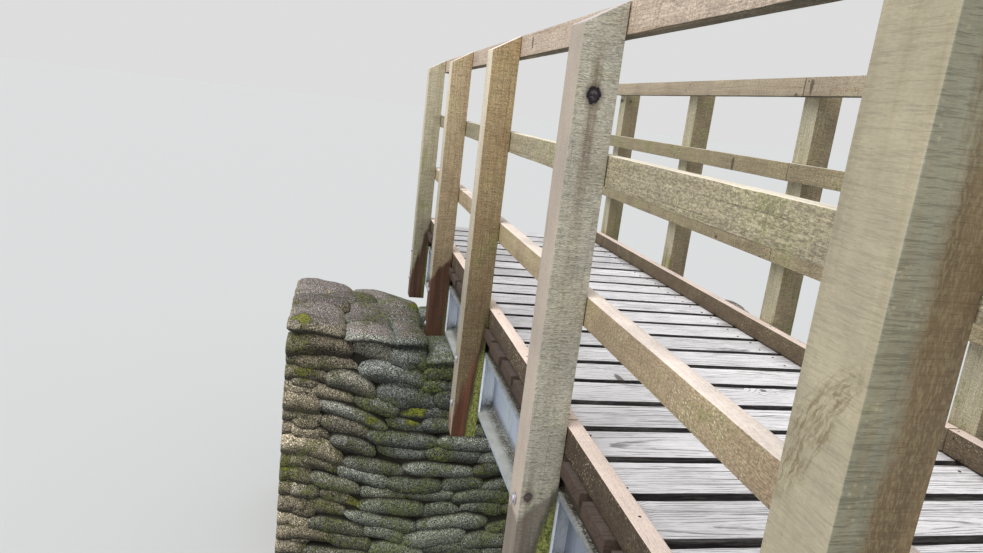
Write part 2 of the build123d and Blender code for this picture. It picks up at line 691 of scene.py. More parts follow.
@dataclass(frozen=True)
class SawnTimber:
    """Weathered sawn softwood, with its own tint on each side, and a dark tint on faces that look down, which
    is painted shade.
    """

    name: str
    top: Colour
    outer: Colour
    inner: Colour
    ends: Colour
    # The tint of faces that look down is kept dark as painted shade.
    under: Colour
    stain: Colour = (0.24, 0.21, 0.12)
    green: Colour = (0.21, 0.225, 0.085)
    fleck: Colour = (0.62, 0.56, 0.40)
    check: Colour = (0.055, 0.042, 0.030)
    groove: Colour = (0.13, 0.118, 0.115)
    knot: Colour = (0.085, 0.060, 0.045)
    ring_pitch: float = 0.0065
    check_pitch: float = 0.030
    grain: float = 0.10
    rings: float = 0.14
    streaks: float = 0.40
    saw: float = 0.32
    saw_elsewhere: float = 0.25
    algae: float = 0.30
    flecks: float = 0.30
    checks: float = 0.30
    grooves: float = 0.0
    nap: tuple[float, float] = (110.0, 330.0)
    speckle: float = 0.16
    blotch: float = 0.10
    outer_calm: float = 0.55
    height_light: float = 0.0
    relief: float = 0.0010

    def build(self) -> bpy.types.Material:
        """Make the material.

        Returns:
            The finished material.
        """
        g = TimberSurface(self)
        side, figure, patch = g.side, g.figure, g.patch
        colour = g.mix(side["Outer"], self.inner, self.outer)
        # The Under tint paints shade on every face that looks down.
        for name, tint in (("Ends", self.ends), ("Top", self.top), ("Under", self.under)):
            colour = g.mix(side[name], colour, tint)
        flank = g.mul(g.sub(1.0, g.mul(side["Top"], 0.75)), g.sub(1.0, g.mul(side["Outer"], self.outer_calm)))
        streak = g.mul(g.step(figure["Streaks"], 0.48, 0.72), flank, self.streaks)
        colour = g.mix(streak, colour, self.stain)
        colour = g.mix(g.mul(patch["Moss"], flank, 0.6), colour, self.green)
        colour = g.mix(g.mul(patch["Lichen"], flank, self.flecks), colour, self.fleck)
        saw = g.add(g.mul(side["Ends"], 1.0 - self.saw_elsewhere), self.saw_elsewhere)
        kerf = g.mul(g.step(figure["Saw marks"], 0.50, 0.38), saw, flank, self.saw)
        rough = g.step(figure["Nap"], 0.38, 0.62, -self.speckle, self.speckle)
        colour = g.tint(colour, g.mul(
            g.step(figure["Fibres"], 0.28, 0.72, 1.0 - self.grain, 1.0 + self.grain),
            g.step(figure["Rings"], 0.0, 1.0, 1.0 + 0.35 * self.rings, 1.0 - 0.65 * self.rings),
            g.step(patch["Blotch"], 0.3, 0.7, 1.0 - self.blotch, 1.0 + self.blotch),
            g.add(g.mul(rough, g.add(flank, 0.05)), 1.0),
            g.step(g.split(g.place)[2], 1.5, 2.6, 1.0 - 0.4 * self.height_light, 1.0 + self.height_light),
            g.step(g.attribute("stick"), 0.0, 1.0, 0.88, 1.12),
            g.sub(1.0 + 0.25 * self.saw, kerf)))
        colour = g.mix(g.mul(figure["Grooves"], self.grooves), colour, self.groove)
        colour = self.soil(g, colour)
        colour = g.mix(g.mul(figure["Knots"], 0.75), colour, self.knot)
        colour = g.mix(g.mul(figure["Checks"], self.checks), colour, self.check)
        ridges = g.add(g.mul(figure["Fibres"], 6.0 * self.grain), g.mul(figure["Rings"], 2.0 * self.rings),
                       g.mul(figure["Nap"], 1.6 * self.speckle))
        cuts = g.add(kerf, g.mul(figure["Checks"], 2.0 * self.checks), g.mul(figure["Grooves"], self.grooves))
        return g.finished(colour, g.sub(ridges, cuts), self.relief)

    def soil(self, g: TimberSurface, colour: Socket) -> Socket:
        """Leave the timber as it is: only some timbers have stains of their own."""
        return colour


@dataclass(frozen=True)
class PostTimber(SawnTimber):
    """A post's timber, with large knots at known places, a stained, mossy foot, and a band of painted shade
    along the moss's edge.
    """

    foot: Colour = (0.20, 0.070, 0.040)
    foot_stain: float = 0.0
    foot_slope: float = 0.20
    foot_top: float = 1.60
    foot_moss: float = 0.0
    moss_top: float = 1.60
    moss_slope: float = 0.095
    # The dark band along the moss's edge is painted shade.
    moss_edge_shade: Colour = (0.035, 0.036, 0.020)
    moss_dark: Colour = (0.055, 0.068, 0.018)
    moss_light: Colour = (0.46, 0.48, 0.13)
    heart: Colour = (0.17, 0.125, 0.085)
    heart_fleck: Colour = (0.36, 0.295, 0.170)
    heart_side: float = 0.0
    burr: float = 0.0
    burr_place: tuple[float, float] = (-1.006, 2.080)
    burr_lean: tuple[float, float] = (0.918, 0.397)
    burr_size: tuple[float, float] = (0.095, 0.026)
    burr_tint: Colour = (0.215, 0.155, 0.080)
    knots: tuple[tuple[float, float, float, float], ...] = ()
    knot_tail: Colour = (0.17, 0.095, 0.062)
    knot_halo: Colour = (0.16, 0.125, 0.10)
    knot_dark: Colour = (0.030, 0.022, 0.028)
    knot_light: Colour = (0.16, 0.135, 0.14)
    knot_rim: Colour = (0.020, 0.014, 0.018)

    def soil(self, g: TimberSurface, colour: Socket) -> Socket:
        """Stain the post's foot and its heart side, paint a band of shade along the edge of its moss, and set
        in its large knots.

        Args:
            g: The material's graph.
            colour: The colour so far.

        Returns:
            The stained colour.
        """
        x, _, z = g.split(g.place)
        reach = g.size(x)
        inside = g.sub(reach, POST_FACE)
        streaks, speckle = g.figure["Streaks"], g.patch["Speckle"]
        wobble = g.add(g.sway(g.patch["Blotch"], 0.07), g.sway(speckle, 0.03), g.sway(streaks, 0.07))
        edge = g.add(inside, wobble)
        core = g.mix(g.step(streaks, 0.35, 0.65), shaded(self.heart, 0.75), shaded(self.heart, 1.15))
        flecks = g.grain(g.place, (330.0, 330.0, 110.0), 3.0, 0.7)
        core = g.mix(g.mul(g.step(flecks, 0.44, 0.66), 0.65), core, self.heart_fleck)
        colour = g.mix(g.mul(g.step(edge, 0.070, 0.042), g.side["Ends"], self.heart_side), colour, core)
        stained = g.sub(g.mul(g.sub(self.foot_top, z), self.foot_slope), edge)
        wet = g.mix(g.step(streaks, 0.38, 0.62), shaded(self.foot, 0.5), self.foot)
        colour = g.mix(g.mul(g.step(stained, -0.012, 0.014), self.foot_stain), colour, wet)
        under = g.sub(self.moss_top, z)
        mossy = g.sub(g.mul(under, self.moss_slope), g.add(inside, g.mul(wobble, 0.6)))
        # A dark band along the moss's edge: painted shade at the edge of the moss.
        rim = g.mul(g.step(mossy, -0.026, -0.002), g.step(under, 0.0, 0.05), 0.75 * self.foot_moss)
        colour = g.mix(rim, colour, self.moss_edge_shade)
        green = g.mix(g.step(speckle, 0.35, 0.65), self.moss_dark, self.moss_light)
        colour = g.mix(g.mul(g.step(mossy, -0.010, 0.010), self.foot_moss), colour, green)
        for across, level, radius, depth in self.knots:
            colour = self.large_knot(g, colour, g.sub(reach, across), g.sub(z, level), radius, depth)
        return self.ruffled_grain(g, colour) if self.burr else colour

    def ruffled_grain(self, g: TimberSurface, colour: Socket) -> Socket:
        """Draw the dark ruffled grain beside a knot on the post's outer face.

        Args:
            g: The material's graph.
            colour: The colour so far.

        Returns:
            The colour with the ruffled grain.
        """
        _, y, z = g.split(g.place)
        away, rise = g.sub(y, self.burr_place[0]), g.sub(z, self.burr_place[1])
        upright, slant = self.burr_lean
        up = g.sub(g.mul(rise, upright), g.mul(away, slant))
        warp = g.sway(g.noise(g.place, 32.0, 2.0), 0.022)
        across = g.add(g.mul(rise, slant), g.mul(away, upright), warp, g.mul(up, up, 1.2))
        far = g.add(*(g.math("POWER", g.div(g.size(way), reach), 2.0)
                      for way, reach in zip((up, across), self.burr_size)), g.sway(g.patch["Speckle"], 1.6))
        lines = g.noise(g.merge(g.mul(up, 38.0), g.mul(across, 170.0), 3.0), 1.0, 4.0, 0.75)
        dark = g.mul(g.step(far, 1.5, 0.3), g.step(lines, 0.40, 0.64, 0.10, 1.0), g.side["Outer"], self.burr)
        return g.mix(dark, colour, self.burr_tint)

    def large_knot(self, g: TimberSurface, colour: Socket, aside: Socket, above: Socket, radius: float,
                   depth: float) -> Socket:
        """Set one dark knot into the post's faces along the bridge, with the stain that runs down from it.

        Args:
            g: The material's graph.
            colour: The colour so far.
            aside: The distance sideways from the knot's middle.
            above: The height over the knot's middle.
            radius: The knot's radius.
            depth: How dark it is, from 0 to 1.

        Returns:
            The colour with the knot.
        """
        face = g.mul(g.side["Ends"], depth)
        speckle = g.patch["Speckle"]
        far = g.math("SQRT", g.add(g.mul(aside, aside, 1.25), g.mul(above, above)))
        far = g.add(g.div(far, radius), g.sway(speckle, 0.8), g.sway(g.patch["Blotch"], 1.2))
        sideways = g.size(g.add(aside, g.sway(g.figure["Streaks"], 0.016)))
        tail = g.mul(g.step(sideways, radius * 0.85, 0.0), g.step(above, -0.45, -0.02),
                     g.step(above, 0.16, 0.01), g.step(g.figure["Fibres"], 0.25, 0.6, 0.25, 0.7))
        colour = g.mix(g.mul(tail, face), colour, self.knot_tail)
        colour = g.mix(g.mul(g.step(far, 1.7, 0.9), face, 0.6), colour, self.knot_halo)
        eye = g.mix(g.step(speckle, 0.45, 0.62), self.knot_dark, self.knot_light)
        eye = g.mix(g.step(far, 0.45, 0.8), eye, self.knot_rim)
        return g.mix(g.mul(g.step(far, 1.05, 0.85), face), colour, eye)


@dataclass(frozen=True)
class WalkedTimber(SawnTimber):
    """The deck's timber: pale where it is walked on, brown and damp outside the kerbs."""

    outside: Colour = (0.095, 0.060, 0.043)
    dirt: Colour = (0.20, 0.175, 0.145)
    kerb_face: float = 0.560

    def soil(self, g: TimberSurface, colour: Socket) -> Socket:
        """Darken the board ends and the dirt along the kerbs.

        Args:
            g: The material's graph.
            colour: The colour so far.

        Returns:
            The colour with its dirt and damp.
        """
        reach = g.size(g.split(g.place)[0])
        ragged = g.add(reach, g.sway(g.patch["Blotch"], 0.22), g.sway(g.figure["Streaks"], 0.10))
        dirty = g.step(ragged, self.kerb_face - 0.05, self.kerb_face + 0.02)
        colour = g.mix(g.mul(dirty, 0.55), colour, self.dirt)
        damp = g.mix(g.step(g.patch["Speckle"], 0.35, 0.65), shaded(self.outside, 0.6), self.outside)
        return g.mix(g.mul(g.step(reach, self.kerb_face, self.kerb_face + 0.012), 0.92), colour, damp)


@dataclass(frozen=True)
class ZincCoat:
    """Dull zinc-coated steel with dirt and painted shade in the roots and under the top flange, lichen along
    the flanges, and the web painted paler towards +Y as painted light.
    """

    name: str
    web: Colour = (0.37, 0.425, 0.455)
    lilac: Colour = (0.365, 0.400, 0.50)
    flange: Colour = (0.67, 0.67, 0.62)
    run: Colour = (0.20, 0.22, 0.22)
    shade: Colour = (0.18, 0.16, 0.13)
    # The dirt colour is laid in the roots and on the top flange, and also stands for painted shade in the
    # roots and under the top flange.
    dirt: Colour = (0.075, 0.065, 0.045)
    moss: Colour = (0.12, 0.13, 0.06)
    lichen: Colour = (0.62, 0.65, 0.55)
    joist_top: float = 1.445
    joist_foot: float = 1.185
    joist_middle: float = 0.5315

    def build(self) -> bpy.types.Material:
        """Make the material.

        Returns:
            The finished material.
        """
        g = Surface(self.name, 0.5, 0.1)
        side, patch = g.sides(), g.patches(0.30)
        x, y, z = g.split(g.place)
        cloud = g.step(g.noise(g.place, 7.0, 4.0), 0.35, 0.65)
        runs = g.step(g.grain(g.place, (30.0, 30.0, 4.0)), 0.5, 0.75)
        # Painted light: the web is painted paler towards +Y, where it stands in more light.
        web = g.tint(g.mix(cloud, self.web, self.lilac), g.step(y, -0.5, 0.5, 0.80, 1.38))
        web = g.mix(g.mul(runs, 0.6), web, self.run)
        colour = g.mix(side["Top"], web, g.mix(cloud, self.flange, shaded(self.flange, 0.75)))
        colour = g.mix(g.mul(side["Under"], 0.5), colour, self.shade)
        # Darker in the bottom root beside the web (low) and in a band under the top flange (high): partly
        # dirt, partly painted shade. On the top flange (litter): dirt.
        off_web = g.size(g.sub(g.size(x), self.joist_middle))
        low = g.mul(g.step(z, self.joist_foot + 0.060, self.joist_foot + 0.01),
                    g.step(off_web, 0.050, 0.018, 0.15, 0.9))
        high = g.mul(g.step(z, self.joist_top - 0.05, self.joist_top - 0.012), 0.45)
        litter = g.mul(g.step(z, self.joist_top - 0.004, self.joist_top - 0.001),
                       g.step(off_web, 0.072, 0.062))
        crumbs = g.step(g.add(patch["Speckle"], g.mul(patch["Blotch"], 0.5)), 0.62, 0.78)
        dirt_and_shade = g.math("MAXIMUM", g.math("MAXIMUM", low, high), litter)
        colour = g.mix(g.mul(dirt_and_shade, g.step(crumbs, 0.0, 1.0, 0.25, 1.0)), colour, self.dirt)
        colour = g.mix(g.mul(patch["Moss"], 0.5), colour, self.moss)
        colour = g.mix(g.mul(patch["Lichen"], 0.6), colour, self.lichen)
        return g.finished(colour, g.add(g.mul(patch["Speckle"], 0.4), patch["Moss"], patch["Lichen"]), 0.0006)


@dataclass(frozen=True)
class BaggedConcrete:
    """Hardened bags of concrete with moss, each bag of a slightly different tone, with painted shade in the
    crevices between bags, painted light and shade on each bag's upper and lower sides, and the wall painted
    darker towards its top.
    """

    name: str
    grey: Colour = (0.222, 0.232, 0.208)
    brown: Colour = (0.285, 0.242, 0.172)
    cap: Colour = (0.235, 0.203, 0.188)
    crevice_shade: Colour = (0.026, 0.023, 0.015)
    moss: Colour = (0.150, 0.172, 0.040)
    bright_moss: Colour = (0.52, 0.55, 0.06)

    def build(self) -> bpy.types.Material:
        """Make the material.

        Returns:
            The finished material.
        """
        g = Surface(self.name, 0.95)
        patch = g.patches(0.40)
        x, _, z = g.split(g.place)
        up = g.split(g.normal)[2]
        coarse = g.noise(g.place, 80.0, 4.0, 0.75)
        grit = g.noise(g.place, 170.0, 3.0, 0.8)
        crumble = g.add(g.mul(coarse, 0.5), g.mul(grit, 0.5))
        colour = g.mix(g.attribute("bag_warmth"), self.grey, self.brown)
        colour = g.mix(g.mul(g.step(up, 0.75, 0.95), g.step(z, 1.19, 1.24)), colour, self.cap)
        # The last two factors are painted light and shade: the wall darker towards its top as painted shadow
        # under overhanging plants, and each face lighter as it looks up and darker as it looks down.
        colour = g.tint(colour, g.mul(
            g.add(g.step(crumble, 0.38, 0.56, 0.12, 0.92), g.step(grit, 0.52, 0.68, 0.0, 2.9)),
            g.step(g.attribute("bag_tone"), 0.0, 1.0, 0.62, 1.38),
            g.step(z, 0.70, 1.20, 1.16, 0.80),
            g.step(up, -0.6, 0.7, 0.22, 1.50)))
        damp = g.add(g.step(z, 1.15, 0.35, -0.03, 0.13), g.step(g.size(x), 1.35, 0.9, -0.10, 0.04))
        grown = g.add(patch["Moss"], g.mul(g.add(damp, g.mul(up, 0.13)), 2.6))
        pelt = g.mul(g.step(grown, 0.15, 0.95), g.step(coarse, 0.30, 0.55))
        olive = g.mix(g.step(crumble, 0.38, 0.62), shaded(self.moss, 0.16), shaded(self.moss, 1.7))
        colour = g.mix(g.mul(pelt, 0.8), colour, olive)
        cells = g.node("TexVoronoi", {"Vector": g.place, "Scale": 3.3}).outputs
        near = g.add(cells["Distance"], g.sway(coarse, 0.26), g.sway(g.noise(g.place, 22.0), 0.34))
        cushion = g.mul(g.step(near, 0.22, 0.14), g.step(g.split(cells["Color"])[0], 0.42, 0.44),
                        g.step(up, -0.5, 0.0))
        glow = g.mix(g.step(crumble, 0.38, 0.66), shaded(self.bright_moss, 0.10), self.bright_moss)
        colour = g.mix(g.mul(cushion, 0.9), colour, glow)
        # Painted shade in the crevices: the deeper a spot lies behind its bag's front, the darker it is, up
        # to near black on the core.
        colour = g.mix(g.step(g.attribute("bag_depth"), 0.008, 0.026), colour, self.crevice_shade)
        return g.finished(colour, g.add(crumble, g.mul(pelt, 0.5), g.mul(cushion, 1.5)), 0.006)


@dataclass(frozen=True)
class PlainMetal:
    """The zinc or rust of bolts and nails."""

    name: str
    clean: Colour
    stained: Colour

    def build(self) -> bpy.types.Material:
        """Make the material.

        Returns:
            The finished material.
        """
        g = Surface(self.name, 0.45, 0.6)
        cloud = g.noise(g.place, 120.0, 4.0)
        return g.finished(g.mix(g.step(cloud, 0.4, 0.62), self.clean, self.stained), cloud, 0.0004)


# Sub-assemblies


@dataclass
class WornTimber:
    """Timbers copied from a node, with worn arrises and uneven sawn faces."""

    node: str
    grain: Axis
    slot: str
    finish: bpy.types.Material
    rng: random.Random
    arris: float = 0.003
    cell: float = 0.028
    cross_cuts: int = 3
    longest: float = 2.05
    long_edge: float = 0.3
    cross_edge: float = 0.03
    weld: float = 0.0002
    hollow: float = 0.0016
    hollow_size: float = 0.22
    fibre_lift: float = 0.0009
    fibre_size: float = 0.03
    fibre_stretch: float = 9.0
    log_length: float = 40.0
    pith_aside: float = 0.05
    pith_away: tuple[float, float] = (0.03, 0.10)

    def build(self) -> Thing:
        """Make the piece and let it stand for its node.

        Returns:
            The finished piece.
        """
        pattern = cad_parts[self.node]
        piece = bpy.data.objects.new(self.node + "_timber", pattern.data.copy())
        bpy.context.collection.objects.link(piece)
        piece.matrix_world = pattern.matrix_world.copy()
        with editing(piece):
            bpy.ops.mesh.select_all(action="SELECT")
            bpy.ops.mesh.remove_doubles(threshold=self.weld)
            bpy.ops.mesh.dissolve_limited(angle_limit=math.radians(2.0))
            bpy.ops.mesh.select_all(action="SELECT")
            bpy.ops.mesh.bevel(offset=self.arris, segments=2, affect="EDGES")
            self.divide(piece)
        self.mark_figure(piece.data)
        Wave("long_waves", self.hollow_size, self.hollow).shape(piece)
        Wave("fibre_ridges", self.fibre_size, self.fibre_lift, self.grain, self.fibre_stretch).shape(piece)
        settle(piece)
        return dress(piece, self.finish, self.node)

    def divide(self, piece: Thing) -> None:
        """Divide long faces so that they can wave.

        Args:
            piece: The piece in edit mode.
        """
        low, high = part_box(self.node)
        length = (high - low)[self.grain.value]
        sticks = max(1, round(length / self.longest)) if self.grain is Axis.ALONG else 1
        cut_lengthwise(piece, self.grain, int(length / sticks / self.cell), self.long_edge)
        for axis in Axis:
            if axis is not self.grain:
                cut_lengthwise(piece, axis, self.cross_cuts, self.cross_edge)

    def mark_figure(self, mesh: bpy.types.Mesh) -> None:
        """Give each stick its own place in the log that it was sawn from.

        Args:
            mesh: The piece's mesh.
        """
        values = [0.0] * (3 * len(mesh.vertices))
        tones = [0.0] * len(mesh.vertices)
        along = self.grain.value
        side, depth = [n for n in range(3) if n != along]
        for stick in islands(mesh):
            middle = sum((mesh.vertices[n].co for n in stick), Vector()) / len(stick)
            start = self.rng.uniform(1.0, self.log_length)
            aside = stray(self.rng, self.pith_aside)
            away = self.rng.choice((-1, 1)) * self.rng.uniform(*self.pith_away)
            tone = self.rng.uniform(0.0, 1.0)
            for n in stick:
                tones[n] = tone
                spot = mesh.vertices[n].co - middle
                values[3 * n:3 * n + 3] = spot[along] + start, spot[side] + aside, spot[depth] + away
        mark(mesh, "timber", values, "FLOAT_VECTOR")
        mark(mesh, "stick", tones)


@dataclass
class DeckBoards(WornTimber):
    """The boards of one bay, a little out of line with each other."""

    strips: int = 18
    out_of_line: tuple[float, float] = (0.004, 0.002)
    drop: float = 0.0015
    skew: float = 0.002

    def divide(self, piece: Thing) -> None:
        """Slice the notched boards, which have no plain long edges.

        Args:
            piece: The piece in edit mode.
        """
        low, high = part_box(self.node)
        count = int((high.x - low.x) / self.cell)
        step = (high.x - low.x) / count
        slice_through(Axis.ACROSS, [low.x + step * n for n in range(1, count)])
        boards = round((high.y - low.y + BOARD_SPACING - BOARD_WIDTH) / BOARD_SPACING)
        for board in range(boards):
            edge = low.y + BOARD_SPACING * board
            slice_through(Axis.ALONG, [edge + BOARD_WIDTH * n / self.strips for n in range(1, self.strips)])

    def mark_figure(self, mesh: bpy.types.Mesh) -> None:
        """Mark the figure, then shift each board a little.

        Args:
            mesh: The piece's mesh.
        """
        super().mark_figure(mesh)
        for board in islands(mesh):
            x, y = (stray(self.rng, most) for most in self.out_of_line)
            shift = Vector((x, y, self.rng.uniform(-self.drop, 0.0)))
            skew = stray(self.rng, self.skew)
            for n in board:
                spot = mesh.vertices[n].co
                mesh.vertices[n].co = spot + shift + Vector((0.0, skew * spot.x, 0.0))


@dataclass
class Fastenings:
    """Small steel pieces that are modelled once and copied to many places."""

    finish: bpy.types.Material
    rng: random.Random
    crisp: float = 30.0

    def drive(self, name: str, pattern: Thing, spots: list[Matrix]) -> Thing:
        """Set a fastening into every spot and make one piece of them.

        Args:
            name: The piece's name.
            pattern: The fastening to copy.
            spots: The place of each.

        Returns:
            The finished piece.
        """
        piece = join(name, [own_copy(pattern, spot) for spot in spots])
        settle(piece, self.crisp)
        return dress(piece, self.finish)


@dataclass
class BoltSet(Fastenings):
    """The bolts that hold each post to its cleat, with washers outside and nuts inside."""

    washer: float = 0.0165
    washer_thickness: float = 0.003
    washer_round: float = 0.0009
    head: float = 0.0115
    head_height: float = 0.0055
    head_round: float = 0.0044
    cleat_thickness: float = 0.008
    aside: float = 0.004
    levels: tuple[float, ...] = (1.404, 1.220)
    most_turn: float = 1.05

    def head_and_washer(self) -> Thing:
        """Model one head on its washer, looking along +X from the origin.

        Returns:
            The pattern.
        """
        parts = []
        washer = (self.washer, self.washer_thickness, 0.0, self.washer_round)
        head = (self.head, self.head_height, self.washer_thickness, self.head_round)
        for radius, depth, start, corner in (washer, head):
            part = primitive(
                bpy.ops.mesh.primitive_cylinder_add, "bolt_part", vertices=24, radius=radius, depth=depth,
                location=(start + depth / 2, 0.0, 0.0), rotation=(0.0, math.pi / 2, 0.0))
            with editing(part):
                choose(part, Part.EDGE, lambda edge: all(v.co.x > start + depth * 0.9 for v in edge.verts))
                bpy.ops.mesh.bevel(offset=corner, segments=3, affect="EDGES")
            parts.append(part)
        return join("bolt_pattern", parts)

    def build(self) -> list[Thing]:
        """Set two bolts into every post, heads outside and nuts inside.

        Returns:
            One piece for each side of the bridge.
        """
        pattern = self.head_and_washer()
        pieces = []
        for side in Side:
            out = math.pi if side is Side.LEFT else 0.0
            spots = []
            for low, high in map(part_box, nodes_with("post_" + side.word)):
                faces = (low.x, high.x + self.cleat_thickness), (high.x, low.x - self.cleat_thickness)
                outer, inner = faces[0] if side is Side.LEFT else faces[1]
                for level in self.levels:
                    for x, facing in ((outer, out), (inner, out + math.pi)):
                        spot = Matrix.Translation((x, (low.y + high.y) / 2 - self.aside, level))
                        turn = Matrix.Rotation(self.rng.uniform(0, self.most_turn), 4, "X")
                        spots.append(spot @ Matrix.Rotation(facing, 4, "Z") @ turn)
            pieces.append(self.drive("bolts_" + side.word, pattern, spots))
        bpy.data.objects.remove(pattern)
        return pieces


@dataclass
class NailSet(Fastenings):
    """The nail heads in the boards over the bearers, in the rails on the posts and on the kerbs."""

    radius: float = 0.0046
    length: float = 0.006
    rounding: float = 0.0011
    sunk: float = 0.0009
    board_reach: float = 0.508
    board_offset: float = 0.046
    board_play: tuple[float, float] = (0.012, 0.006)
    rail_offset: tuple[float, float] = (0.023, 0.017)
    rail_play: float = 0.005
    kerb_nails: int = 13
    kerb_play: tuple[float, float] = (0.008, 0.04)

    def head(self) -> Thing:
        """Model one head whose face lies at the origin and looks along +Z.

        Returns:
            The pattern.
        """
        head = primitive(bpy.ops.mesh.primitive_cylinder_add, "nail_pattern", vertices=10, radius=self.radius,
                         depth=self.length, location=(0.0, 0.0, -self.length / 2))
        with editing(head):
            choose(head, Part.EDGE, lambda edge: all(v.co.z > -0.0001 for v in edge.verts))
            bpy.ops.mesh.bevel(offset=self.rounding, segments=1, affect="EDGES")
        return head

    def board_spots(self) -> list[Matrix]:
        """Place two nails at each end of every board.

        Returns:
            The places.
        """
        spots = []
        for low, high in map(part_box, nodes_with("deck_bay")):
            for board in range(round((high.y - low.y) / BOARD_SPACING)):
                middle = low.y + BOARD_WIDTH / 2 + BOARD_SPACING * board
                for side in Side:
                    for offset in (-self.board_offset, self.board_offset):
                        x = side.value * self.board_reach + stray(self.rng, self.board_play[0])
                        y = middle + offset + stray(self.rng, self.board_play[1])
                        spots.append(Matrix.Translation((x, y, DECK_LEVEL - self.sunk)))
        return spots

    def rail_spots(self, side: Side) -> list[Matrix]:
        """Place two nails at each crossing of a rail and a post, and a row on top of the kerb.

        Args:
            side: The side of the bridge.

        Returns:
            The places.
        """
        crossings = [(low.y + high.y) / 2 for low, high in map(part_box, nodes_with("post_" + side.word))]
        spots = []
        for node in nodes_with("", side.word):
            if "rail" not in node and "kerb" not in node:
                continue
            low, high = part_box(node)
            face = high.x if side is Side.LEFT else low.x
            for place in crossings:
                for lean in (-1, 1):
                    y = place + lean * self.rail_offset[0] + stray(self.rng, self.rail_play)
                    z = (low.z + high.z) / 2 - lean * self.rail_offset[1] + stray(self.rng, self.rail_play)
                    spot = Matrix.Translation((face + side.value * self.sunk, y, z))
                    spots.append(spot @ Matrix.Rotation(-side.value * math.pi / 2, 4, "Y"))
            if "kerb" in node:
                spacing = (crossings[-1] - crossings[0]) / self.kerb_nails
                for n in range(self.kerb_nails):
                    y = crossings[0] + spacing * (n + 0.5) + stray(self.rng, self.kerb_play[1])
                    x = (low.x + high.x) / 2 + stray(self.rng, self.kerb_play[0])
                    spots.append(Matrix.Translation((x, y, high.z - self.sunk)))
        return spots

    def build(self) -> list[Thing]:
        """Drive all nails.

        Returns:
            One piece for the deck and one for each parapet.
        """
        pattern = self.head()
        pieces = [self.drive("nails_deck", pattern, self.board_spots())]
        pieces += [self.drive("nails_" + side.word, pattern, self.rail_spots(side)) for side in Side]
        bpy.data.objects.remove(pattern)
        return pieces


class BagShape(Enum):
    """How a bag is rounded: shares of its length from the middle, each with its depth and height there."""

    WALLED_IN = ((0.5, 0.80, 0.22), (0.478, 0.88, 0.50), (0.43, 0.94, 0.76), (0.34, 0.985, 0.92),
                 (0.18, 1.0, 1.0), (0.0, 1.0, 1.0))
    ROUND_ABOUT = ((0.5, 0.42, 0.22), (0.475, 0.66, 0.50), (0.42, 0.84, 0.78), (0.32, 0.96, 0.94),
                   (0.15, 1.0, 1.0), (0.0, 1.0, 1.0))

    @property
    def lengths(self) -> list[tuple[float, float, float]]:
        """The shares towards both ends, each with the depth and height there."""
        return [(part * end, deep, high) for part, deep, high in self.value
                for end in ((-1, 1) if part else (1,))]

    @property
    def swell(self) -> list[tuple[float, float]]:
        """The shares of its depth that are cut.

        Returns:
            Each share, counted from the middle, with the height there.
        """
        if self is BagShape.WALLED_IN:
            return [(-0.5, 0.12), (-0.475, 0.42), (-0.42, 0.68), (-0.34, 0.88), (-0.22, 1.0)]
        edges = ((0.5, 0.14), (0.46, 0.46), (0.36, 0.78), (0.20, 0.97))
        return [(part * end, high) for part, high in edges for end in (-1, 1)]


